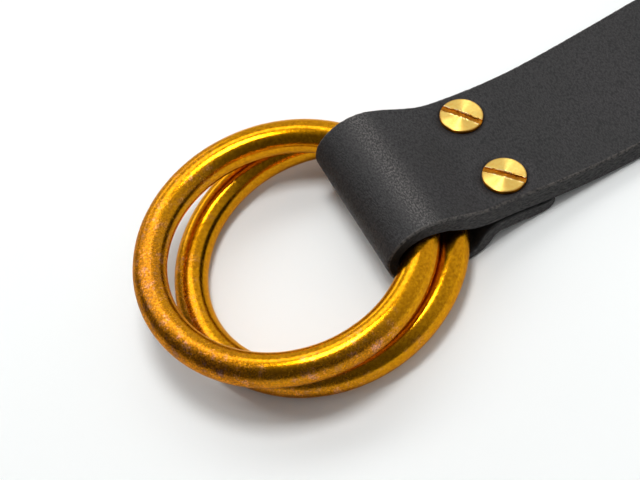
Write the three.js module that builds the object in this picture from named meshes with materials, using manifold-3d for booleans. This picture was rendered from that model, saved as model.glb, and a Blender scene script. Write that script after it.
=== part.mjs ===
// Ring belt, the fastening end: a thick leather strap folded round two loose brass rings and
// closed by two slotted screws. Millimetres, +Z up. The belt lies on a flat surface at z = 0.
import * as THREE from 'three';
import { mergeVertices } from 'three/addons/utils/BufferGeometryUtils.js';
import Module from 'manifold-3d';

const wasm = await Module();
wasm.setup();

// Driving dimensions, measured from near the middle of the leather loop, on the surface.
const BELT_LENGTH = 150;
const STRAP_THICKNESS = 5.1;
const FLAP_THICKNESS = 3.5;
const EDGE_BEVEL = 0.5;
const END_CORNER_RADIUS = 3.0;
const MIDDLE_SHARE = 0.6;        // the part of the width where the rings bear on the leather

// Along the strap: [x, width], and [x, thickness where the rings bear, thickness at the cut edges].
const WIDTHS = [[8, 34.1], [28.7, 31.7], [65, 33.3]];
const TOP_LAYER = [[-3, 2.4, 2.8], [4, 2.4, 3.4], [14.3, 2.4, 4.0], [20, 3.5, 5.1], [26.6, 5.1, 5.1]];
const FLAP_LAYER = [[-3, 2.4, 2.8], [8, 2.4, 2.4], [14, 2.25, 2.3], [17.5, 1.95, 3.0], [20, 2.1, 3.4],
  [24, 3.4, 3.5], [30.3, 3.5, 3.5], [33, 3.2, 3.2], [36.8, 2.4, 2.4]];

const LOOP_X = 6.16;
const LOOP_Z = 12.67;
const LOOP_RADIUS = 8.95;        // from the loop's middle to its fold
const LOOP_RISE = 7.4;           // from the loop's middle to its top
const LOOP_EASE = THREE.MathUtils.degToRad(20);      // how far past its top the loop is round
const CLAMP_SLOPE = THREE.MathUtils.degToRad(15);    // where the screws press the layers flat
const CLAMP_LENGTH = 9.6;
const FLAT_FROM = 72;
const FLAP_RISE = 15.8;
const FLAP_SETTLED = 33.5;
const FLAP_END = 36.8;

const RING_EYE = 50.8;
const WIRE_DIAMETER = 7.4;
const UPPER_RING = { x: -18.56, z: 14.09, tilt: THREE.MathUtils.degToRad(4.17) };
const LOWER_RING = { x: -12.74, z: 5.11, tilt: THREE.MathUtils.degToRad(-2.74) };

const SCREW_X = 28.73;
const SCREW_Z = 10.0;
const SCREW_SPACING = 18.8;
const HEAD_RADIUS = 4.7;
const HEAD_HEIGHT = 1.2;
const HEAD_SINK = 0.6;           // how far the head has pressed into the leather
const RIM_HEIGHT = 0.85;
const RIM_ROUND = 0.2;
const SLOT_WIDTH = 1.1;
const SLOT_DEPTH = 0.6;
const SLOT_TURNS = { far: THREE.MathUtils.degToRad(-53), near: THREE.MathUtils.degToRad(-46) };
const SHANK_RADIUS = 1.5;
const SLEEVE_BORE = 1.8;
const SLEEVE_RADIUS = 2.4;
const CAP_RADIUS = 3.8;
const CAP_HEIGHT = 1.0;
const CAP_BEVEL = 0.3;
const GAP = 0.3;
const SEAT_GAP = 0.2;

const brass = { color: 0xc98a1c, roughness: 0.3, metalness: 1.0 };
const leather = { color: 0x2b2a2c, roughness: 0.6, metalness: 0.0 };

// A solid for cutting, from a closed geometry.
function toSolid(geometry) {
  const bare = geometry.index ? geometry.toNonIndexed() : geometry.clone();
  for (const name of Object.keys(bare.attributes)) {
    if (name !== 'position') bare.deleteAttribute(name);
  }
  const merged = mergeVertices(bare, 1e-4);
  return new wasm.Manifold(new wasm.Mesh({
    numProp: 3,
    vertProperties: new Float32Array(merged.attributes.position.array),
    triVerts: new Uint32Array(merged.index.array),
  }));
}

function toGeometry(solid) {
  const mesh = solid.getMesh();
  const geometry = new THREE.BufferGeometry();
  geometry.setAttribute('position', new THREE.BufferAttribute(mesh.vertProperties, 3));
  geometry.setIndex(new THREE.BufferAttribute(mesh.triVerts, 1));
  geometry.computeVertexNormals();
  return geometry;
}

function namedMesh(name, geometry, finish) {
  const mesh = new THREE.Mesh(geometry, new THREE.MeshStandardMaterial(finish));
  mesh.name = name;
  return mesh;
}

// Strap: the leather's outer side in side view, from the cut end over the loop to the flap's end.
const ringRadius = (RING_EYE + WIRE_DIAMETER) / 2;
const leftmost = UPPER_RING.x - ringRadius * Math.cos(UPPER_RING.tilt) - WIRE_DIAMETER / 2;
const strapEnd = leftmost + BELT_LENGTH;
const layersDepth = STRAP_THICKNESS + GAP + FLAP_THICKNESS;
const clampFall = -Math.tan(CLAMP_SLOPE);

// A place on the straight clamped stretch: so far down the slope, so deep under the top.
function onClamp(along, depth) {
  return [
    SCREW_X + along * Math.cos(CLAMP_SLOPE) - depth * Math.sin(CLAMP_SLOPE),
    SCREW_Z - along * Math.sin(CLAMP_SLOPE) - depth * Math.cos(CLAMP_SLOPE),
  ];
}

// A smooth bend from one point and slope to the next.
function bendTo(path, from, slopeFrom, to, slopeTo) {
  const third = (to[0] - from[0]) / 3;
  path.bezierCurveTo(
    from[0] + third, from[1] + third * slopeFrom,
    to[0] - third, to[1] - third * slopeTo,
    to[0], to[1],
  );
}

function outerSide() {
  const path = new THREE.Path();
  const settled = [FLAT_FROM, STRAP_THICKNESS];
  const clampLow = onClamp(CLAMP_LENGTH / 2, 0);
  const clampHigh = onClamp(-CLAMP_LENGTH / 2, 0);
  const offLoop = [
    LOOP_X + LOOP_RADIUS * Math.sin(LOOP_EASE),
    LOOP_Z + LOOP_RISE * Math.cos(LOOP_EASE),
  ];
  const loopFall = -(LOOP_RISE / LOOP_RADIUS) * Math.tan(LOOP_EASE);
  const flapCrest = onClamp(-CAP_RADIUS - GAP, layersDepth);
  const flapLow = onClamp(CAP_RADIUS + GAP, layersDepth);
  path.moveTo(strapEnd, STRAP_THICKNESS);
  path.lineTo(...settled);
  bendTo(path, settled, 0, clampLow, clampFall);
  path.lineTo(...clampHigh);
  bendTo(path, clampHigh, clampFall, offLoop, loopFall);
  path.absellipse(LOOP_X, LOOP_Z, LOOP_RADIUS, LOOP_RISE, Math.PI / 2 - LOOP_EASE, Math.PI, false);
  path.absellipse(LOOP_X, LOOP_Z, LOOP_RADIUS, LOOP_Z, Math.PI, 1.5 * Math.PI, false);
  path.lineTo(FLAP_RISE, 0);
  const crestPull = 2.0;
  path.bezierCurveTo(
    FLAP_RISE + 2 * crestPull, 0,
    flapCrest[0] - crestPull, flapCrest[1] + crestPull / 10,
    ...flapCrest,
  );
  path.lineTo(...flapLow);
  bendTo(path, flapLow, clampFall, [FLAP_SETTLED, 0], 0);
  path.lineTo(FLAP_END, 0);
  return path;
}

// A value read from one of the rows above, at a place x along the strap.
function readAt(rows, x, column, ease = (share) => share) {
  const next = rows.findIndex((row) => row[0] > x);
  if (next === -1) return rows[rows.length - 1][column];
  if (next === 0) return rows[0][column];
  const [before, after] = [rows[next - 1], rows[next]];
  const share = ease((x - before[0]) / (after[0] - before[0]));
  return THREE.MathUtils.lerp(before[column], after[column], share);
}

function widthAt(x) {
  return readAt(WIDTHS, x, 1, (share) => THREE.MathUtils.smoothstep(share, 0, 1));
}

// Half the width at x, and at a distance from the nearer end, with rounded corners.
function halfWidthAt(x, distance) {
  const into = Math.min(distance, END_CORNER_RADIUS);
  const rounded = Math.sqrt(END_CORNER_RADIUS ** 2 - (END_CORNER_RADIUS - into) ** 2);
  return widthAt(x) / 2 - END_CORNER_RADIUS + rounded;
}

// Distances along the leather where sections stand: close together round the end corners.
function sectionDistances(length) {
  const step = 1.4;
  const corner = [0, 0.15, 0.6, 1.3, 2.1];
  const inner = length - 2 * END_CORNER_RADIUS;
  const count = Math.round(inner / step);
  const middle = Array.from({ length: count + 1 }, (_, i) => END_CORNER_RADIUS + inner * i / count);
  return [...corner, ...middle, ...corner.map((d) => length - d).reverse()];
}

function strapGeometry() {
  const path = outerSide();
  path.arcLengthDivisions = 2000;
  const length = path.getLength();
  const positions = [];
  const indices = [];
  const sections = sectionDistances(length);
  const nearEnd = 0.0005;
  for (const distance of sections) {
    const u = distance / length;
    const point = path.getPointAt(u);
    const tangent = path.getTangentAt(THREE.MathUtils.clamp(u, nearEnd, 1 - nearEnd));
    const inward = new THREE.Vector2(-tangent.y, tangent.x);
    const layer = point.y < LOOP_Z && tangent.x > 0 ? FLAP_LAYER : TOP_LAYER;
    const middle = readAt(layer, point.x, 1);
    const t = readAt(layer, point.x, 2);
    const w = halfWidthAt(point.x, Math.min(distance, length - distance));
    const m = w * MIDDLE_SHARE;
    const b = EDGE_BEVEL;
    const corners = [
      [-w, b], [-w + b, 0], [w - b, 0], [w, b],
      [w, t - b], [w - b, t], [m, middle], [-m, middle], [-w + b, t], [-w, t - b],
    ];
    for (const [across, depth] of corners) {
      positions.push(point.x + inward.x * depth, across, point.y + inward.y * depth);
    }
  }
  const around = 10;
  for (let s = 0; s + 1 < sections.length; s += 1) {
    for (let k = 0; k < around; k += 1) {
      const a = s * around + k;
      const b = s * around + (k + 1) % around;
      indices.push(a, b, a + around, b, b + around, a + around);
    }
  }
  const last = (sections.length - 1) * around;
  for (let k = 1; k < around - 1; k += 1) {
    indices.push(0, k + 1, k, last, last + k, last + k + 1);
  }
  const geometry = new THREE.BufferGeometry();
  geometry.setAttribute('position', new THREE.Float32BufferAttribute(positions, 3));
  geometry.setIndex(indices);
  return geometry;
}

// Each screw stands on the clamped stretch, square to it.
const screwSides = { far: SCREW_SPACING / 2, near: -SCREW_SPACING / 2 };

function onStrap(geometry, y, turn = 0) {
  return geometry.rotateZ(turn).rotateY(CLAMP_SLOPE).translate(SCREW_X, y, SCREW_Z);
}

function lathe(profile, segments) {
  const points = profile.map(([r, z]) => new THREE.Vector2(r, z));
  return new THREE.LatheGeometry(points, segments).rotateX(Math.PI / 2);
}

// A round recess square to the clamped stretch, between two heights over its top.
function roundCut(radius, low, high, y) {
  const round = new THREE.CylinderGeometry(radius, radius, high - low, 32);
  return toSolid(onStrap(round.rotateX(Math.PI / 2).translate(0, 0, (low + high) / 2), y));
}

function strap() {
  const clear = 10;
  let cut = toSolid(strapGeometry());
  for (const y of Object.values(screwSides)) {
    cut = cut.subtract(roundCut(SLEEVE_RADIUS + GAP, -layersDepth - clear, clear, y));
    cut = cut.subtract(roundCut(HEAD_RADIUS + GAP, -HEAD_SINK, clear, y));
    const capSeat = -layersDepth + CAP_HEIGHT + SEAT_GAP;
    cut = cut.subtract(roundCut(CAP_RADIUS + GAP, -layersDepth - clear, capSeat, y));
  }
  return namedMesh('strap', toGeometry(cut), leather);
}

// Rings: plain closed round wire.
function ring(name, place) {
  const wire = new THREE.TorusGeometry(ringRadius, WIRE_DIAMETER / 2, 16, 96);
  const mesh = namedMesh(name, wire, brass);
  mesh.rotation.y = place.tilt;
  mesh.position.set(place.x, 0, place.z);
  return mesh;
}

// Screws: a low turned head with a slot, on a plain shank that stands in the sleeve.
const capTop = -layersDepth + CAP_HEIGHT;
const headBottom = -HEAD_SINK + SEAT_GAP;

function screw(name, side) {
  const rim = headBottom + RIM_HEIGHT;
  const crown = headBottom + HEAD_HEIGHT;
  const turned = lathe([
    [0, capTop + GAP],
    [SHANK_RADIUS, capTop + GAP],
    [SHANK_RADIUS, headBottom],
    [HEAD_RADIUS, headBottom],
    [HEAD_RADIUS, rim - RIM_ROUND],
    [HEAD_RADIUS - RIM_ROUND, rim],
    [0, crown],
  ], 40);
  const slot = new THREE.BoxGeometry(HEAD_RADIUS * 3, SLOT_WIDTH, SLOT_DEPTH * 2);
  slot.translate(0, 0, crown);
  const slotted = toGeometry(toSolid(turned).subtract(toSolid(slot)));
  return namedMesh(name, onStrap(slotted, screwSides[side], SLOT_TURNS[side]), brass);
}

// Posts: a plain sleeve through both layers, with a flat cap sunk in the flap's underside.
function post(name, side) {
  const capBottom = -layersDepth;
  const sleeveTop = headBottom - GAP;
  const turned = lathe([
    [0, capBottom],
    [CAP_RADIUS - CAP_BEVEL, capBottom],
    [CAP_RADIUS, capBottom + CAP_BEVEL],
    [CAP_RADIUS, capTop],
    [SLEEVE_RADIUS, capTop],
    [SLEEVE_RADIUS, sleeveTop],
    [SLEEVE_BORE, sleeveTop],
    [SLEEVE_BORE, capTop],
    [0, capTop],
  ], 28);
  return namedMesh(name, onStrap(turned, screwSides[side]), brass);
}

// The origin is on the surface, under the middle of the belt's length.
const belt = new THREE.Group();
belt.add(
  strap(),
  ring('ring_upper', UPPER_RING),
  ring('ring_lower', LOWER_RING),
  screw('screw_far', 'far'),
  screw('screw_near', 'near'),
  post('post_far', 'far'),
  post('post_near', 'near'),
);
belt.position.x = -(leftmost + strapEnd) / 2;

export default belt;
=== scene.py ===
import math
import random
import bmesh
import bpy
from mathutils import Matrix, Vector, noise


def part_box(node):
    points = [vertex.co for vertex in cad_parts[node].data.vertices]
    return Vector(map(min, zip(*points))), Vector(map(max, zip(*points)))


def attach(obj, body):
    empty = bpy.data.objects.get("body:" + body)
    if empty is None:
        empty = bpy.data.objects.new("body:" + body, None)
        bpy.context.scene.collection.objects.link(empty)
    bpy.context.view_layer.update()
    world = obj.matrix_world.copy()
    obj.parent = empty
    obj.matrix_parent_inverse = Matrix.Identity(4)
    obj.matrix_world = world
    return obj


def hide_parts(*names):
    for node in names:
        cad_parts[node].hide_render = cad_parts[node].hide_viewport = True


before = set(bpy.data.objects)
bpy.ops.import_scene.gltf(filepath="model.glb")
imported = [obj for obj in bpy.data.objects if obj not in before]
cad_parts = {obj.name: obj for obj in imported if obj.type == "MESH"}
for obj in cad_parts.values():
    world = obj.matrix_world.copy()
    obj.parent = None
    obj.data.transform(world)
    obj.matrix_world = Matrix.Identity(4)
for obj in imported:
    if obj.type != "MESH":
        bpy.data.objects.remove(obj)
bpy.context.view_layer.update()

MM = 0.001

# Strap: one length of thick firm leather, dyed charcoal black, grain side out. Its end is thinned,
# folded round the two rings and laid back under the strap as a short flap. The long sides are cut
# raw, with a narrow bevel along the grain edge, and the rings have hollowed the inside of the fold.
full_thickness = 5.1 * MM
flap_thickness = 3.5 * MM

# Rows along the strap, in mm: the place, then the width there.
widths = [(8, 34.1), (28.7, 31.7), (65, 33.3)]
width_column = 1

# Rows along the strap, in mm: the place, then the thickness in its middle and at its cut sides.
top_layer = [(-3, 2.4, 2.8), (4, 2.4, 3.4), (14.3, 2.4, 4.0), (20, 3.5, 5.1), (26.6, 5.1, 5.1)]
flap_layer = [
    (-3, 2.4, 2.8), (8, 2.4, 2.4), (14, 2.25, 2.3), (17.5, 1.95, 3.0), (20, 2.1, 3.4),
    (24, 3.4, 3.5), (30.3, 3.5, 3.5), (33, 3.2, 3.2), (36.8, 2.4, 2.4),
]
thickness_columns = (1, 2)

loop_middle = Vector((6.16 * MM, 12.67 * MM))
loop_radius = 8.95 * MM
loop_rise = 7.4 * MM
loop_ease = math.radians(20)
clamp_slope = math.radians(15)
clamp_half = 4.8 * MM
layer_gap = 0.3 * MM
screw_seat = Vector((28.73 * MM, 10.0 * MM))
screw_from_middle = 9.4 * MM
head_radius = 4.7 * MM
cap_radius = 3.8 * MM
flat_from = 72.0 * MM
flap_rise = 15.8 * MM
flap_settled = 33.5 * MM
flap_end = 36.8 * MM
crest_pull = 2.0 * MM
crest_lift = crest_pull / 10
datum_to_cut_end = 98.72 * MM
strap_far_corner = Vector(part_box("strap")[1])
loop_datum = strap_far_corner.x - datum_to_cut_end
strap_end = strap_far_corner.x - loop_datum


def bezier(start, pull_start, pull_end, end, steps=40):
    points = []
    for i in range(1, steps + 1):
        t = i / steps
        s = 1 - t
        points.append(start * s**3 + pull_start * 3 * s * s * t + pull_end * 3 * s * t * t + end * t**3)
    return points


def bend(start, slope_start, end, slope_end):
    """A smooth bend of the strap between two places, with the slope it has at each."""
    third = (end.x - start.x) / 3
    pull_start = start + Vector((third, third * slope_start))
    pull_end = end - Vector((third, third * slope_end))
    return bezier(start, pull_start, pull_end, end)


def sweep(middle, radius_x, radius_z, from_angle, to_angle, steps=60):
    angles = [from_angle + (to_angle - from_angle) * i / steps for i in range(1, steps + 1)]
    return [middle + Vector((radius_x * math.cos(a), radius_z * math.sin(a))) for a in angles]


def on_clamp(along, depth):
    """A place on the straight stretch under the screws: so far down its slope, so deep in it."""
    down = Vector((math.cos(clamp_slope), -math.sin(clamp_slope)))
    inward = Vector((-math.sin(clamp_slope), -math.cos(clamp_slope)))
    return screw_seat + down * along + inward * depth


def even_steps(points, step, look_aside=2):
    """Points at an even distance along a line, with the line's direction at each."""
    spans = [(b - a).length for a, b in zip(points, points[1:])]
    count = round(sum(spans) / step)
    places = []
    i, passed = 0, 0.0
    for k in range(count + 1):
        goal = sum(spans) * k / count
        while i < len(spans) - 1 and passed + spans[i] < goal:
            passed += spans[i]
            i += 1
        share = min(1.0, (goal - passed) / spans[i])
        places.append((goal, points[i].lerp(points[i + 1], share)))
    turned = []
    for k, (goal, place) in enumerate(places):
        before = places[max(0, k - look_aside)][1]
        after = places[min(count, k + look_aside)][1]
        turned.append((goal, place, (after - before).normalized()))
    return turned


def eased(share):
    """A share from 0 to 1 that starts and ends gently."""
    return share * share * (3 - 2 * share)


def read_at(rows, x, column):
    """A value of the rows above at a place along the strap. Widths ease from row to row."""
    for before, after in zip(rows, rows[1:]):
        if x < after[0]:
            share = min(1.0, max(0.0, (x - before[0]) / (after[0] - before[0])))
            if rows is widths:
                share = eased(share)
            return before[column] + (after[column] - before[column]) * share
    return rows[-1][column]


both_layers = full_thickness + layer_gap + flap_thickness
clamp_fall = -math.tan(clamp_slope)
loop_fall = -loop_rise / loop_radius * math.tan(loop_ease)
off_loop = loop_middle + Vector((loop_radius * math.sin(loop_ease), loop_rise * math.cos(loop_ease)))
flap_crest = on_clamp(-cap_radius - layer_gap, both_layers)
flap_low = on_clamp(cap_radius + layer_gap, both_layers)
grain_line = [Vector((strap_end, full_thickness)), Vector((flat_from, full_thickness))]
grain_line += bend(grain_line[-1], 0, on_clamp(clamp_half, 0), clamp_fall)
grain_line += bend(grain_line[-1], clamp_fall, on_clamp(-clamp_half, 0), clamp_fall)
grain_line += bend(grain_line[-1], clamp_fall, off_loop, loop_fall)
grain_line += sweep(loop_middle, loop_radius, loop_rise, math.pi / 2 - loop_ease, math.pi)
grain_line += sweep(loop_middle, loop_radius, loop_middle.y, math.pi, 1.5 * math.pi)
grain_line += [Vector((flap_rise, 0))]
grain_line += bezier(
    grain_line[-1],
    Vector((flap_rise + 2 * crest_pull, 0)),
    flap_crest + Vector((-crest_pull, crest_lift)),
    flap_crest,
)
grain_line += bend(grain_line[-1], clamp_fall, flap_low, clamp_fall)
grain_line += bend(grain_line[-1], clamp_fall, Vector((flap_settled, 0)), 0)
grain_line += [Vector((flap_end, 0))]

section_step = 0.45 * MM
grain_bevel = 0.55 * MM
flesh_bevel = 0.35 * MM
end_corner = 3.0 * MM
middle_share = 0.6
across_steps = 64
wall_steps = 8
corner_steps = 4


def half_width(x, from_end):
    into = min(from_end, end_corner)
    rounded_off = math.sqrt(end_corner**2 - (end_corner - into) ** 2)
    return read_at(widths, x / MM, width_column) * MM / 2 - end_corner + rounded_off


def quarter_turn(middle_across, middle_depth, radius, from_angle, kind):
    """A rounded corner of the section, turning a quarter on from an angle."""
    turns = [from_angle + math.pi / 2 * i / corner_steps for i in range(corner_steps + 1)]
    return [
        (middle_across + radius * math.cos(a), middle_depth - radius * math.sin(a), kind)
        for a in turns
    ]


def leather_section(half, at_middle, at_edge):
    """Places round the cut leather: (across, depth, which side), from the grain side's far edge."""
    section = []
    reach = half - grain_bevel
    for i in range(across_steps + 1):
        section.append((reach - 2 * reach * i / across_steps, 0.0, "grain"))
    near_side = quarter_turn(-reach, grain_bevel, grain_bevel, math.pi / 2, "bevel")[1:]
    wall = at_edge - grain_bevel - flesh_bevel
    for i in range(1, wall_steps):
        near_side.append((-half, grain_bevel + wall * i / wall_steps, "cut"))
    near_side += quarter_turn(-half + flesh_bevel, at_edge - flesh_bevel, flesh_bevel, math.pi, "flesh")
    section += near_side
    reach = half - flesh_bevel
    for i in range(1, across_steps):
        across = -reach + 2 * reach * i / across_steps
        share = eased(max(0.0, (abs(across) / half - middle_share) / (1 - middle_share)))
        section.append((across, at_middle + (at_edge - at_middle) * share, "flesh"))
    for across, depth, kind in reversed(near_side):
        section.append((-across, depth, kind))
    return section


def mesh_object(name, vertices, faces, smooth=True):
    """A mesh in the scene, with its faces turned outward."""
    mesh = bpy.data.meshes.new(name)
    mesh.from_pydata(vertices, [], faces)
    mesh.update()
    work = bmesh.new()
    work.from_mesh(mesh)
    bmesh.ops.recalc_face_normals(work, faces=work.faces)
    work.to_mesh(mesh)
    work.free()
    for face in mesh.polygons:
        face.use_smooth = smooth
    piece = bpy.data.objects.new(name, mesh)
    bpy.context.scene.collection.objects.link(piece)
    return piece


# The grain side waves a little, rises round each screw head and dips at its rim. The lengths of
# the waves and the distances from a screw are in mm.
wave_height, wave_length = 0.12 * MM, 13
ripple_height, ripple_length = 0.04 * MM, 4
swell_height, swell_radius, swell_spread = 0.12 * MM, 6.8, 1.2
dip_depth, dip_radius, dip_spread = 0.28 * MM, 5.0, 0.55

# The cut sides wander with the knife and have a few nicks. The rates are per mm along the cut.
knife_wave, knife_wave_rate = 0.07 * MM, 1.1
knife_ripple, knife_ripple_rate = 0.04 * MM, 3.3
nick_size, nick_rate, nick_from = 0.22 * MM, 0.9, 0.42
sides_unlike = 40

# The grain is stretched over the crest of the loop, where it is smoother and carries lighter flecks that
# are partly worn grain and partly painted sheen. The cut sides are darkened in the fold with painted
# shade.
crest_before_fold, crest_spread = 16.0 * MM, 2.8 * MM
shade_before_fold, shade_spread = 4.0 * MM, 11.0 * MM


def bell(away, spread):
    """1 at a place, falling smoothly to 0 on either side of it."""
    return math.exp(-((away / spread) ** 2))


def grain_lift(place, across, flow):
    """How far the grain side stands out of its plain line."""
    lift = wave_height * noise.noise(flow / wave_length)
    lift += ripple_height * noise.noise(flow / ripple_length)
    for side in (-1, 1):
        seat = Vector((screw_seat.x, side * screw_from_middle))
        away = (Vector((place.x, across)) - seat).length / MM
        lift += swell_height * bell(away - swell_radius, swell_spread)
        lift -= dip_depth * bell(max(0.0, away - dip_radius), dip_spread)
    return lift


def knife_wander(across, flow):
    """How far a cut side stands out of its plain line."""
    push = knife_wave * noise.noise(flow * knife_wave_rate)
    push += knife_ripple * noise.noise(flow * knife_ripple_rate)
    nick = noise.noise(Vector((flow.x * nick_rate, math.copysign(sides_unlike, across), 0)))
    return push + nick_size * max(0.0, abs(nick) - nick_from) * math.copysign(1, nick)


stations = even_steps(grain_line, section_step)
leather_length = stations[-1][0]
fold_length = next(distance for distance, place, direction in stations if direction.x > 0)
vertices, kinds, unrolled, stretches_and_sheen, fold_shades = [], [], [], [], []
for distance, place, direction in stations:
    inward = Vector((-direction.y, direction.x))
    on_flap = direction.x > 0 and place.y < loop_middle.y
    layer = flap_layer if on_flap else top_layer
    at_middle, at_edge = (read_at(layer, place.x / MM, column) * MM for column in thickness_columns)
    half = half_width(place.x, min(distance, leather_length - distance))
    stretch_and_sheen = bell(distance - fold_length + crest_before_fold, crest_spread)
    fold = bell(distance - fold_length + shade_before_fold, shade_spread)
    for across, depth, kind in leather_section(half, at_middle, at_edge):
        flow = Vector((distance, across, depth)) / MM
        lift = grain_lift(place, across, flow) if kind == "grain" and not on_flap else 0.0
        push = knife_wander(across, flow) if kind in ("cut", "bevel") else 0.0
        point = place + inward * (depth - lift)
        outward = math.copysign(1, across)
        vertices.append((loop_datum + point.x, across + outward * push, max(0.0, point.y)))
        kinds.append(kind)
        unrolled.append((distance, across, depth))
        stretches_and_sheen.append(stretch_and_sheen)
        fold_shades.append(fold)
around = len(vertices) // len(stations)
faces = []
for s in range(len(stations) - 1):
    for k in range(around):
        a = s * around + k
        b = s * around + (k + 1) % around
        faces.append((a, b, b + around, a + around))
faces.append(tuple(range(around)))
faces.append(tuple(reversed(range(len(vertices) - around, len(vertices)))))
strap = mesh_object("strap_leather", vertices, faces)


def record_on_points(mesh, name, values):
    """Keeps a value or a place with each point of a mesh, for its material to read."""
    if isinstance(values[0], float):
        mesh.attributes.new(name, "FLOAT", "POINT")
        for data, value in zip(mesh.attributes[name].data, values):
            data.value = value
    else:
        mesh.attributes.new(name, "FLOAT_VECTOR", "POINT")
        for data, value in zip(mesh.attributes[name].data, values):
            data.vector = value


record_on_points(strap.data, "unrolled", unrolled)
record_on_points(strap.data, "edge_wear", [1.0 if kind == "bevel" else 0.0 for kind in kinds])
record_on_points(strap.data, "stretch_and_sheen", stretches_and_sheen)
record_on_points(strap.data, "fold", fold_shades)


def new_material(name):
    material = bpy.data.materials.new(name)
    material.use_nodes = True
    tree = material.node_tree
    tree.nodes.clear()
    output = tree.nodes.new("ShaderNodeOutputMaterial")
    shader = tree.nodes.new("ShaderNodeBsdfPrincipled")
    tree.links.new(shader.outputs["BSDF"], output.inputs["Surface"])
    return material, tree, shader


def add(tree, kind, links=None, **values):
    """A node with its settings and values, and what is plugged into it."""
    made = tree.nodes.new(kind)
    for name, value in values.items():
        if hasattr(made, name):
            setattr(made, name, value)
        else:
            made.inputs[name.replace("_", " ")].default_value = value
    for socket, source in (links or {}).items():
        tree.links.new(source, made.inputs[socket])
    return made


def recorded_value(tree, name):
    return add(tree, "ShaderNodeAttribute", attribute_name=name).outputs["Fac"]


def recorded_place(tree, name):
    return add(tree, "ShaderNodeAttribute", attribute_name=name).outputs["Vector"]


def mottling(tree, place, **values):
    """Soft random patches, about 0.5 on the whole."""
    return add(tree, "ShaderNodeTexNoise", {"Vector": place}, **values).outputs["Fac"]


def cells(tree, place, **values):
    """Small rounded cells: the distance from the middle of each."""
    return add(tree, "ShaderNodeTexVoronoi", {"Vector": place}, **values).outputs["Distance"]


def relief_normal(tree, height, strength, depth, below=None):
    """The normals of a fine relief, laid over those of any relief below it."""
    links = {"Height": height}
    if below is not None:
        links["Normal"] = below
    return add(tree, "ShaderNodeBump", links, Strength=strength, Distance=depth).outputs["Normal"]


def ramp(tree, source, stops):
    """A colour for each value, blended between the stops."""
    made = add(tree, "ShaderNodeValToRGB", {"Fac": source})
    elements = made.color_ramp.elements
    while len(elements) < len(stops):
        elements.new(0.5)
    for element, (position, colour) in zip(elements, stops):
        element.position = position
        element.color = (*colour, 1.0)
    return made.outputs["Color"]


def ramp_value(tree, source, low, high, to_low=0.0, to_high=1.0):
    """A value stretched from one range to another, and held at its ends."""
    made = tree.nodes.new("ShaderNodeMapRange")
    made.clamp = True
    tree.links.new(source, made.inputs["Value"])
    for socket, value in zip(("From Min", "From Max", "To Min", "To Max"), (low, high, to_low, to_high)):
        made.inputs[socket].default_value = value
    return made.outputs["Result"]


def mix_colour(tree, share, first, second, blend="MIX"):
    made = tree.nodes.new("ShaderNodeMix")
    made.data_type = "RGBA"
    made.blend_type = blend
    for socket, value in ((made.inputs[0], share), (made.inputs[6], first), (made.inputs[7], second)):
        if isinstance(value, bpy.types.NodeSocket):
            tree.links.new(value, socket)
        elif isinstance(value, tuple):
            socket.default_value = (*value, 1.0)
        else:
            socket.default_value = value
    return made.outputs[2]


def maths(tree, operation, first, second=0.0, third=0.0):
    made = tree.nodes.new("ShaderNodeMath")
    made.operation = operation
    for socket, value in zip(made.inputs, (first, second, third)):
        if isinstance(value, bpy.types.NodeSocket):
            tree.links.new(value, socket)
        else:
            socket.default_value = value
    return made.outputs[0]


def vector_maths(tree, operation, *values):
    """Places added, scaled or compared, each plugged in or given as three numbers."""
    made = tree.nodes.new("ShaderNodeVectorMath")
    made.operation = operation
    for socket, value in zip(made.inputs, values):
        if isinstance(value, bpy.types.NodeSocket):
            tree.links.new(value, socket)
        else:
            socket.default_value = value
    return made


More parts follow.
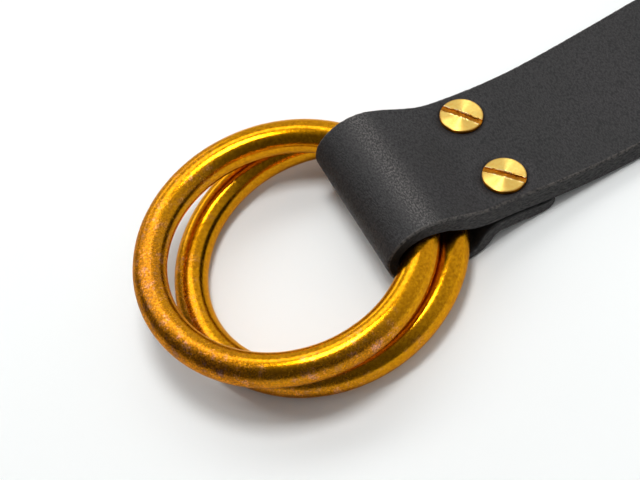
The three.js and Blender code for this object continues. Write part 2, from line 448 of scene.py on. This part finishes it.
def leather_grain(name):
    """The dyed grain side: fine pebbles, creases that run across the strap, and a soft sheen, with
    lighter flecks over the crest of the loop that are partly worn grain and partly painted sheen.
    """
    charcoal_deep = (0.0098, 0.0097, 0.0098)
    charcoal_faded = (0.0138, 0.0125, 0.0136)
    speckle_dark = (0.45, 0.45, 0.46)
    speckle_light = (1.55, 1.50, 1.47)
    worn_and_sheen_grey = (0.105, 0.096, 0.091)
    scuffed_brown = (0.074, 0.065, 0.059)
    crease_stretch = (1.0, 0.55, 1.0)
    pebble_sway = (0.0005, 0.0005, 0.0005)
    grain_height = 0.16 * MM

    material, tree, shader = new_material(name)
    flat = recorded_place(tree, "unrolled")
    worn = recorded_value(tree, "edge_wear")
    pulled_and_sheen = recorded_value(tree, "stretch_and_sheen")
    crease_flow = vector_maths(tree, "MULTIPLY", flat, crease_stretch).outputs[0]
    warp = add(tree, "ShaderNodeTexNoise", {"Vector": flat}, Scale=900, Detail=3).outputs["Color"]
    swayed = vector_maths(tree, "MULTIPLY_ADD", warp, pebble_sway, crease_flow).outputs[0]
    pebbles = cells(tree, swayed, feature="SMOOTH_F1", Scale=3000, Smoothness=0.5)
    creases = mottling(tree, crease_flow, Scale=2800, Detail=4, Roughness=0.6)
    pores = cells(tree, flat, Scale=1300)
    relief = maths(tree, "MULTIPLY_ADD", pebbles, -0.6, creases)
    relief = maths(tree, "MULTIPLY_ADD", pores, 0.12, relief)

    broad = mottling(tree, flat, Scale=40, Detail=5, Roughness=0.6)
    tone = ramp(tree, broad, [(0.3, charcoal_deep), (0.7, charcoal_faded)])
    speckle = ramp(tree, relief, [(0.08, speckle_dark), (0.42, speckle_light)])
    tone = mix_colour(tree, 1.0, tone, speckle, "MULTIPLY")
    flecks = mottling(tree, crease_flow, Scale=3300, Detail=2, Roughness=0.6)
    # Lighter flecks over the crest of the loop: partly stretched, worn grain and partly a painted sheen.
    worn_and_sheen = maths(tree, "MULTIPLY", pulled_and_sheen, ramp_value(tree, flecks, 0.47, 0.60, 0.0, 0.85))
    tone = mix_colour(tree, worn_and_sheen, tone, worn_and_sheen_grey)
    scuffs = mottling(tree, flat, Scale=1700, Detail=4)
    scuffed = maths(tree, "MULTIPLY", worn, ramp_value(tree, scuffs, 0.38, 0.60))
    tone = mix_colour(tree, scuffed, tone, scuffed_brown)
    tree.links.new(tone, shader.inputs["Base Color"])

    rough = maths(tree, "MULTIPLY_ADD", pulled_and_sheen, -0.14, 0.55)
    rough = maths(tree, "ADD", rough, ramp_value(tree, relief, 0.45, 0.05, -0.03, 0.12))
    tree.links.new(rough, shader.inputs["Roughness"])
    shader.inputs["Specular IOR Level"].default_value = 0.38
    tree.links.new(relief_normal(tree, relief, 0.75, grain_height), shader.inputs["Normal"])
    return material


def raw_leather(name, colour_dark, colour_light, fibre_scale):
    """Leather without its grain: the cut sides and the flesh side, dull and fibrous."""
    fold_shade_black = (0.006, 0.006, 0.006)
    fibre_stretch = (0.6, 1.0, 1.3)
    fibre_height = 0.22 * MM

    material, tree, shader = new_material(name)
    flat = recorded_place(tree, "unrolled")
    fibre_flow = vector_maths(tree, "MULTIPLY", flat, fibre_stretch).outputs[0]
    fibres = mottling(tree, fibre_flow, Scale=fibre_scale, Detail=8, Roughness=0.72)
    specks = cells(tree, fibre_flow, Scale=fibre_scale * 1.5)
    tone = ramp(tree, fibres, [(0.35, colour_dark), (0.68, colour_light)])
    # Painted shade: the cut sides and the flesh side darken nearly to black in the fold of the loop.
    painted_fold_shade = maths(tree, "MULTIPLY", recorded_value(tree, "fold"), 0.95)
    tone = mix_colour(tree, painted_fold_shade, tone, fold_shade_black)
    tree.links.new(tone, shader.inputs["Base Color"])
    shader.inputs["Roughness"].default_value = 0.88
    shader.inputs["Specular IOR Level"].default_value = 0.22
    height = maths(tree, "MULTIPLY_ADD", specks, 0.3, fibres)
    tree.links.new(relief_normal(tree, height, 0.8, fibre_height), shader.inputs["Normal"])
    return material


cut_dark, cut_light = (0.014, 0.014, 0.015), (0.095, 0.091, 0.089)
flesh_dark, flesh_light = (0.010, 0.010, 0.010), (0.034, 0.032, 0.032)
strap.data.materials.append(leather_grain("charcoal_grain"))
strap.data.materials.append(raw_leather("cut_edge", cut_dark, cut_light, 1900))
strap.data.materials.append(raw_leather("flesh_side", flesh_dark, flesh_light, 900))
material_of = {"grain": 0, "bevel": 0, "cut": 1, "flesh": 2}
for face in strap.data.polygons:
    corner_kinds = [kinds[v] for v in face.vertices]
    if len(corner_kinds) > 4 or "cut" in corner_kinds:
        face.material_index = material_of["cut"]
    else:
        face.material_index = min(material_of[kind] for kind in corner_kinds)


def on_screw_seat(side):
    """Where a screw stands: on the grain side, square to the clamped stretch."""
    seat = Vector((loop_datum + screw_seat.x, side * screw_from_middle, screw_seat.y))
    return Matrix.Translation(seat) @ Matrix.Rotation(clamp_slope, 4, "Y")


def cut_away(piece, cutter):
    """Cuts the shape of one mesh out of another, and puts the cutter away."""
    cut = piece.modifiers.new("cut", "BOOLEAN")
    cut.operation = "DIFFERENCE"
    cut.object = cutter
    cut.solver = "EXACT"
    bpy.context.view_layer.update()
    graph = bpy.context.evaluated_depsgraph_get()
    remaining = bpy.data.meshes.new_from_object(piece.evaluated_get(graph))
    piece.modifiers.clear()
    piece.data = remaining
    bpy.data.objects.remove(cutter)


def punch_round(piece, side, radius, low, high):
    """A round hole or recess at a screw, between two heights over the grain side."""
    bpy.ops.mesh.primitive_cylinder_add(vertices=64, radius=radius, depth=high - low)
    punch = bpy.context.active_object
    punch.data.transform(Matrix.Translation((0, 0, (low + high) / 2)))
    punch.matrix_world = on_screw_seat(side)
    cut_away(piece, punch)


sleeve_radius = 2.4 * MM
cap_height = 1.0 * MM
head_sink = 0.6 * MM
head_clearance = 0.22 * MM
seat_gap = 0.2 * MM
past_leather = 10 * MM
below_flap = -both_layers - past_leather
cap_seat = -both_layers + cap_height + seat_gap
for side in (1, -1):
    punch_round(strap, side, sleeve_radius + layer_gap, below_flap, past_leather)
    punch_round(strap, side, head_radius + head_clearance, -head_sink, past_leather)
    punch_round(strap, side, cap_radius + layer_gap, below_flap, cap_seat)
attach(strap, "root")
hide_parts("strap")

# Rings: two plain closed rings of round brass wire, bent, brazed and polished, then heat-tinted.
# They lie loose in the leather loop, one leaning on the other.
ring_eye = 50.8 * MM
wire_diameter = 7.4 * MM
ring_radius = (ring_eye + wire_diameter) / 2
ring_places = {
    "ring_upper": {
        "x": -18.56 * MM, "z": 14.09 * MM, "tilt": math.radians(4.17), "seed": 4.0, "tinted": 0.40,
    },
    "ring_lower": {
        "x": -12.74 * MM, "z": 5.11 * MM, "tilt": math.radians(-2.74), "seed": 17.0, "tinted": 0.10,
    },
}
ring_steps = 360
wire_steps = 56
wire_unevenness = 0.05 * MM
unevenness_length = 9 * MM
polished_away = 0.03 * MM

# The tint deepens away from the loop and towards the near side, and it is deeper round the outside of the
# wire and inside the ring's far side. Over the real mottled heat tint, this layout is partly painted
# shade and painted reflection: the outside of the wire turns darker and mauve as a painted grazing
# reflection, and the far side's inner flank and the side away from the loop are painted darker.
shade_and_tint_away_from_loop = 0.58
shade_and_tint_towards_near_side = 0.12
reflection_and_tint_round_outside = 0.40
shade_and_tint_inside_far_side = 0.40


def patina_brass(name, seed):
    """Old gold brass with an uneven heat tint: amber, olive, rose and mauve in fine mottling, laid out
    partly as painted shade and painted reflection.
    """
    gold_dark = (0.44, 0.165, 0.000)
    gold_middle = (0.60, 0.250, 0.001)
    gold_light = (0.76, 0.350, 0.004)
    mauve = (0.25, 0.115, 0.090)
    umber = (0.34, 0.110, 0.006)
    amber = (0.52, 0.185, 0.004)
    rose = (0.52, 0.225, 0.120)
    grit_dark = (0.35, 0.35, 0.38)
    grit_middle = (0.95, 0.95, 0.95)
    grit_light = (1.9, 1.9, 1.9)
    warm_edge = (0.95, 0.66, 0.32, 1.0)
    patina_height = 0.06 * MM

    material, tree, shader = new_material(name)
    place = recorded_place(tree, "wire_place")
    local = vector_maths(tree, "ADD", place, (seed, seed * 0.7, seed * 0.3)).outputs[0]
    loose = mottling(tree, local, Scale=45, Detail=3, Roughness=0.5)
    mottle = mottling(tree, local, Scale=1300, Detail=6, Roughness=0.7)
    grit = mottling(tree, local, Scale=2600, Detail=4, Roughness=0.75)
    streaks = mottling(tree, local, Scale=300, Detail=7, Roughness=0.80)
    gold = ramp(tree, mottle, [(0.32, gold_dark), (0.50, gold_middle), (0.68, gold_light)])
    tint = ramp(tree, streaks, [(0.37, mauve), (0.44, umber), (0.54, amber), (0.63, rose)])
    specks = ramp(tree, grit, [(0.36, grit_dark), (0.50, grit_middle), (0.63, grit_light)])
    tint = mix_colour(tree, 1.0, tint, specks, "MULTIPLY")
    tinted = maths(tree, "MULTIPLY_ADD", loose, 1.6, -0.90)
    # The recorded tint also carries painted shade and painted reflection.
    tinted = maths(tree, "ADD", tinted, recorded_value(tree, "heat_tint_and_shade"))
    tinted = maths(tree, "ADD", tinted, maths(tree, "MULTIPLY_ADD", streaks, 1.4, -0.70))
    tinted = ramp_value(tree, tinted, 0.30, 1.05, 0.0, 0.95)
    tree.links.new(mix_colour(tree, tinted, gold, tint), shader.inputs["Base Color"])
    shader.inputs["Metallic"].default_value = 1.0

    rough = maths(tree, "MULTIPLY_ADD", mottle, 0.14, 0.13)
    rough = maths(tree, "MULTIPLY_ADD", tinted, 0.15, rough)
    tree.links.new(rough, shader.inputs["Roughness"])
    shader.inputs["Specular Tint"].default_value = warm_edge
    shader.inputs["Coat Weight"].default_value = 0.10
    shader.inputs["Coat Roughness"].default_value = 0.12
    height = maths(tree, "MULTIPLY_ADD", grit, 0.6, mottle)
    height = maths(tree, "MULTIPLY", height, ramp_value(tree, tinted, 0.0, 1.0, 0.35, 1.0))
    tree.links.new(relief_normal(tree, height, 0.40, patina_height), shader.inputs["Normal"])
    return material


def make_ring(name, spot):
    """A ring of slightly uneven wire at its place in the loop, with how far each point is tinted: real
    heat tint laid out partly as painted shade and painted reflection.
    """
    vertices, faces, tints_and_shades = [], [], []
    for i in range(ring_steps):
        round_ring = 2 * math.pi * i / ring_steps
        outward = Vector((math.cos(round_ring), math.sin(round_ring), 0))
        for k in range(wire_steps):
            round_wire = 2 * math.pi * k / wire_steps
            wire = outward * math.cos(round_wire) + Vector((0, 0, math.sin(round_wire)))
            surface = outward * ring_radius + wire * wire_diameter / 2
            unlike = Vector((spot["seed"], 0, 0))
            uneven = wire_unevenness * noise.noise(surface / unevenness_length + unlike)
            surface += wire * (uneven - polished_away)
            vertices.append(surface)
            # Where the tint lies round the ring and round the wire is partly painted shade and painted
            # reflection.
            tint = spot["tinted"] - shade_and_tint_away_from_loop * outward.x
            tint -= shade_and_tint_towards_near_side * outward.y
            tint += reflection_and_tint_round_outside * math.cos(round_wire)
            tint += shade_and_tint_inside_far_side * max(0.0, outward.y) * max(0.0, -math.cos(round_wire))
            tints_and_shades.append(tint)
    for i in range(ring_steps):
        for k in range(wire_steps):
            a = i * wire_steps + k
            b = i * wire_steps + (k + 1) % wire_steps
            c = ((i + 1) % ring_steps) * wire_steps
            faces.append((a, b, c + (k + 1) % wire_steps, c + k))
    ring = mesh_object(name + "_wire", vertices, faces)
    record_on_points(ring.data, "wire_place", vertices)
    record_on_points(ring.data, "heat_tint_and_shade", tints_and_shades)
    ring.data.transform(
        Matrix.Translation((loop_datum + spot["x"], 0, spot["z"])) @ Matrix.Rotation(spot["tilt"], 4, "Y")
    )
    ring.data.materials.append(patina_brass(name + "_brass", spot["seed"]))
    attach(ring, "root")
    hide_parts(name)


for ring_name, ring_spot in ring_places.items():
    make_ring(ring_name, ring_spot)

# Posts: turned brass sleeves with a flat cap, pushed up through the flap and the strap from below.
# Each takes the shank of its screw, and the cap bears on the underside of the flap.
sleeve_bore = 1.8 * MM
cap_rounding = 0.4 * MM
cap_edge = 0.12 * MM
post_steps = 72


def turned_piece(name, profile, steps):
    """A lathe-turned piece: radii and heights from the axis at one end to the axis at the other."""
    vertices, faces = [], []
    rims = []
    for radius, height in profile:
        if radius == 0:
            rims.append([len(vertices)])
            vertices.append((0, 0, height))
            continue
        rims.append(list(range(len(vertices), len(vertices) + steps)))
        for k in range(steps):
            a = 2 * math.pi * k / steps
            vertices.append((radius * math.cos(a), radius * math.sin(a), height))
    for low, high in zip(rims, rims[1:]):
        for k in range(steps):
            n = (k + 1) % steps
            if len(low) == 1:
                faces.append((low[0], high[n], high[k]))
            elif len(high) == 1:
                faces.append((low[k], low[n], high[0]))
            else:
                faces.append((low[k], low[n], high[n], high[k]))
    return mesh_object(name, vertices, faces)


def rounded(corner_from, corner, corner_to, radius, steps=4):
    """Points that round a corner of a turned profile."""
    a = (Vector(corner_from) - Vector(corner)).normalized()
    b = (Vector(corner_to) - Vector(corner)).normalized()
    start = Vector(corner) + a * radius
    end = Vector(corner) + b * radius
    arc = []
    for i in range(steps + 1):
        t = i / steps
        arc.append(tuple(start * (1 - t) ** 2 + Vector(corner) * 2 * t * (1 - t) + end * t * t))
    return arc


def turned_brass(name):
    """Yellow brass off the lathe: fine rings from the tool, a dark rim, and painted shade in the slot."""
    brass_warm = (0.97, 0.60, 0.12)
    brass_bright = (1.0, 0.76, 0.22)
    blush_orange = (0.93, 0.50, 0.08)
    rim_brown = (0.40, 0.15, 0.02)
    slot_shade_dark = (0.26, 0.080, 0.005)
    slot_shade_light = (0.74, 0.270, 0.012)
    burr_pale = (1.0, 0.86, 0.52)
    dent_brown = (0.60, 0.24, 0.02)
    tool_step = 0.16 * MM
    rim_starts, rim_full = 4.30 * MM, 4.68 * MM
    face_above, slot_below = 0.44 * MM, 0.34 * MM
    slot_side, burrs_end, dents_end = 0.62 * MM, 1.05 * MM, 1.15 * MM
    burr_stretch = (0.5, 1.0, 1.0)
    tool_mark_height = 0.02 * MM
    burr_height = 0.10 * MM

    material, tree, shader = new_material(name)
    local = add(tree, "ShaderNodeTexCoord").outputs["Object"]
    split = add(tree, "ShaderNodeSeparateXYZ", {"Vector": local})
    along_slot, across_slot, height_up = (split.outputs[axis] for axis in ("X", "Y", "Z"))
    along_squared = maths(tree, "MULTIPLY", along_slot, along_slot)
    across_squared = maths(tree, "MULTIPLY", across_slot, across_slot)
    from_axis = maths(tree, "SQRT", maths(tree, "ADD", along_squared, across_squared))
    tool_rings = maths(tree, "SINE", maths(tree, "MULTIPLY", from_axis, 2 * math.pi / tool_step))
    dust = mottling(tree, local, Scale=1500, Detail=5, Roughness=0.65)
    blush = mottling(tree, local, Scale=200, Detail=3)

    colour = ramp(tree, dust, [(0.3, brass_warm), (0.7, brass_bright)])
    colour = mix_colour(tree, ramp_value(tree, blush, 0.45, 0.75, 0.0, 0.4), colour, blush_orange)
    rim = ramp_value(tree, from_axis, rim_starts, rim_full, 0.0, 0.8)
    colour = mix_colour(tree, rim, colour, rim_brown)
    # Painted shade: the slot turns darker and browner towards its floor.
    in_slot = ramp_value(tree, height_up, face_above, slot_below)
    in_slot = maths(tree, "MULTIPLY", in_slot, ramp_value(tree, dust, 0.25, 0.5, 0.7, 1.0))
    painted_slot_shade = ramp(tree, blush, [(0.38, slot_shade_dark), (0.60, slot_shade_light)])
    colour = mix_colour(tree, in_slot, colour, painted_slot_shade)

    from_slot = maths(tree, "ABSOLUTE", across_slot)
    burr_flow = vector_maths(tree, "MULTIPLY", local, burr_stretch).outputs[0]
    tears = mottling(tree, burr_flow, Scale=1600, Detail=3)
    on_face = ramp_value(tree, height_up, slot_below, face_above)
    burrs = ramp_value(tree, from_slot, slot_side, burrs_end, 1.0, 0.0)
    burrs = maths(tree, "MULTIPLY", burrs, ramp_value(tree, tears, 0.50, 0.58))
    dents = ramp_value(tree, from_slot, slot_side, dents_end, 1.0, 0.0)
    dents = maths(tree, "MULTIPLY", dents, ramp_value(tree, tears, 0.44, 0.36))
    colour = mix_colour(tree, maths(tree, "MULTIPLY", burrs, on_face), colour, burr_pale)
    colour = mix_colour(tree, maths(tree, "MULTIPLY", dents, on_face), colour, dent_brown)
    tree.links.new(colour, shader.inputs["Base Color"])
    shader.inputs["Metallic"].default_value = 1.0

    rough = maths(tree, "MULTIPLY_ADD", dust, 0.10, 0.28)
    tree.links.new(rough, shader.inputs["Roughness"])
    shader.inputs["Anisotropic"].default_value = 0.90
    shader.inputs["Anisotropic Rotation"].default_value = 0.25
    tangent = add(tree, "ShaderNodeTangent", direction_type="RADIAL", axis="Z")
    tree.links.new(tangent.outputs["Tangent"], shader.inputs["Tangent"])
    marks = maths(tree, "MULTIPLY_ADD", tool_rings, 0.25, dust)
    tool_marks = relief_normal(tree, marks, 0.10, tool_mark_height)
    torn = maths(tree, "MULTIPLY", maths(tree, "SUBTRACT", burrs, dents), on_face)
    torn_marks = relief_normal(tree, torn, 0.8, burr_height, tool_marks)
    tree.links.new(torn_marks, shader.inputs["Normal"])
    return material


screw_metal = turned_brass("turned_brass")
cap_bottom = -both_layers
cap_top = cap_bottom + cap_height
head_bottom = -head_sink + seat_gap
sleeve_top = head_bottom - layer_gap
post_profile = [(0, cap_bottom)]
post_profile += rounded((0, cap_bottom), (cap_radius, cap_bottom), (cap_radius, cap_top), cap_rounding)
post_profile += rounded((cap_radius, cap_bottom), (cap_radius, cap_top), (0, cap_top), cap_edge)
post_profile += [
    (sleeve_radius, cap_top),
    (sleeve_radius, sleeve_top),
    (sleeve_bore, sleeve_top),
    (sleeve_bore, cap_top),
    (0, cap_top),
]
sides = {"far": 1, "near": -1}
for side_name, side in sides.items():
    post = turned_piece(f"post_{side_name}_turned", post_profile, post_steps)
    post.matrix_world = on_screw_seat(side)
    post.data.materials.append(screw_metal)
    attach(post, "root")
    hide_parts(f"post_{side_name}")

# Screws: turned brass heads with a faintly coned face, each slotted with a saw and driven home with
# a wide blade, which has left burrs along the slot. They clamp the strap to its flap.
head_height = 1.2 * MM
rim_height = 0.85 * MM
head_under_edge = 0.15 * MM
head_rounding = 0.22 * MM
face_inset = 0.2 * MM
face_steps = 14
head_steps = 96
shank_radius = 1.5 * MM
slot_width = 1.3 * MM
slot_depth = 0.6 * MM
slot_flare = 1.45
slot_wander = 0.16
slot_floor_wander = 0.04
slot_steps = 40
slot_seed = 11
saw_reach = head_radius * 1.2
saw_rise = 1.0 * MM
slot_turns = {"far": math.radians(-53), "near": math.radians(-46)}
head_rim = head_bottom + rim_height
head_crown = head_bottom + head_height


def saw_slot(piece, seed):
    """Cuts the slot along the head's X axis, with walls that wander a little."""
    rng = random.Random(seed)
    vertices, faces = [], []
    for i in range(slot_steps + 1):
        x = -saw_reach + 2 * saw_reach * i / slot_steps
        left = slot_width / 2 * (1 + rng.uniform(-slot_wander, slot_wander))
        right = slot_width / 2 * (1 + rng.uniform(-slot_wander, slot_wander))
        floor = head_crown - slot_depth + rng.uniform(-slot_floor_wander, slot_floor_wander) * MM
        top = head_crown + saw_rise
        vertices += [(x, -right, floor), (x, left, floor)]
        vertices += [(x, left * slot_flare, top), (x, -right * slot_flare, top)]
    for i in range(slot_steps):
        a = i * 4
        for k in range(4):
            faces.append((a + k, a + (k + 1) % 4, a + 4 + (k + 1) % 4, a + 4 + k))
    faces.append((0, 1, 2, 3))
    faces.append(tuple(reversed(range(slot_steps * 4, slot_steps * 4 + 4))))
    cut_away(piece, mesh_object("saw", vertices, faces, smooth=False))


shank_end = cap_top + layer_gap
under_edge, rim_edge, crown = (head_radius, head_bottom), (head_radius, head_rim), (0, head_crown)
head_profile = [(0, shank_end), (shank_radius, shank_end), (shank_radius, head_bottom)]
head_profile += rounded((0, head_bottom), under_edge, rim_edge, head_under_edge)
head_profile += rounded(under_edge, rim_edge, crown, head_rounding)
for i in range(1, face_steps):
    share = 1 - i / face_steps
    on_cone = head_crown - (head_crown - head_rim) * share
    head_profile.append(((head_radius - face_inset) * share, on_cone))
head_profile.append(crown)
for side_name, side in sides.items():
    screw = turned_piece(f"screw_{side_name}_head", head_profile, head_steps)
    screw.data.materials.append(screw_metal)
    saw_slot(screw, slot_seed + side)
    screw.matrix_world = on_screw_seat(side) @ Matrix.Rotation(slot_turns[side_name], 4, "Z")
    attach(screw, "root")
    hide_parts(f"screw_{side_name}")

# Surface: a plain white table in a light room. One softbox hangs over the rings and two stand
# behind them, and a large weak one fills the shadows from the front.
table_corners = [(-2, -2, 0), (2, -2, 0), (2, 2, 0), (-2, 2, 0)]
table_shade, table_light = (0.880, 0.900, 0.895), (0.890, 0.910, 0.905)
table = mesh_object("table", table_corners, [(0, 1, 2, 3)])
table_material, table_tree, table_shader = new_material("white_table")
table_grain = add(table_tree, "ShaderNodeTexNoise", Scale=30, Detail=3).outputs["Fac"]
table_tone = ramp(table_tree, table_grain, [(0.3, table_shade), (0.7, table_light)])
table_tree.links.new(table_tone, table_shader.inputs["Base Color"])
table_shader.inputs["Roughness"].default_value = 0.7
table.data.materials.append(table_material)

# The room is brightest towards its window.
towards_window = (0.86, 0.50, 0.0)
wall_greys = [(0.20, 0.10), (0.42, 0.16), (0.60, 0.50), (0.95, 0.85)]
world = bpy.data.worlds.new("room")
world.use_nodes = True
room = world.node_tree
direction = add(room, "ShaderNodeTexCoord").outputs["Generated"]
facing_window = vector_maths(room, "DOT_PRODUCT", direction, towards_window).outputs["Value"]
facing_window = maths(room, "MULTIPLY_ADD", facing_window, 0.5, 0.5)
walls = ramp(room, facing_window, [(position, (grey, grey, grey)) for position, grey in wall_greys])
room.links.new(walls, room.nodes["Background"].inputs["Color"])
bpy.context.scene.world = world

# Camera: long lens, close to the rings, turned as the photograph is.
view_elevation = math.radians(55.37)
view_azimuth = math.radians(-4.35)
view_roll = math.radians(-26.79)
view_distance = 434.2 * MM
view_target = Vector((loop_datum - 10.58 * MM, 7.11 * MM, 0))
to_camera = Vector((
    math.sin(view_azimuth) * math.cos(view_elevation),
    -math.cos(view_azimuth) * math.cos(view_elevation),
    math.sin(view_elevation),
))
level_right = Vector((math.cos(view_azimuth), math.sin(view_azimuth), 0))
level_up = to_camera.cross(level_right)
camera_right = level_right * math.cos(view_roll) + level_up * math.sin(view_roll)
camera_up = to_camera.cross(camera_right)


def looking_at_rings(right, up, out, distance):
    """Where a camera or a light stands that looks at the rings from a direction."""
    turned = Matrix((right, up, out)).transposed().to_4x4()
    return Matrix.Translation(view_target + out * distance) @ turned


camera_data = bpy.data.cameras.new("camera")
camera_data.lens = 112.5
camera_data.sensor_width = 36
camera_data.clip_start = 0.01
camera = bpy.data.objects.new("camera", camera_data)
bpy.context.scene.collection.objects.link(camera)
camera.matrix_world = looking_at_rings(camera_right, camera_up, to_camera, view_distance)
bpy.context.scene.camera = camera


def softbox(name, direction, distance, size, brightness):
    """A soft rectangular light in a direction from the rings, its long side across the picture."""
    out = Vector(direction).normalized()
    long_side = (camera_right - out * camera_right.dot(out)).normalized()
    data = bpy.data.lights.new(name, "AREA")
    data.shape = "RECTANGLE"
    data.size, data.size_y = size
    data.energy = brightness * math.pi * size[0] * size[1]
    light = bpy.data.objects.new(name, data)
    light.matrix_world = looking_at_rings(long_side, out.cross(long_side), out, distance)
    bpy.context.scene.collection.objects.link(light)
    return light


softbox("softbox_overhead", (0.11, 0.0, 0.99), distance=0.45, size=(0.12, 0.12), brightness=22.0)
softbox("softbox_behind", (-0.06, 0.57, 0.82), distance=0.50, size=(0.70, 0.15), brightness=2.3)
softbox("softbox_low_behind", (-0.18, 0.91, 0.37), distance=0.60, size=(0.32, 0.12), brightness=2.4)
fill = softbox("fill_in_front", (-0.10, -0.55, 0.83), distance=0.80, size=(0.80, 0.80), brightness=0.34)
fill.visible_glossy = False
bpy.context.scene.view_settings.view_transform = "Standard"
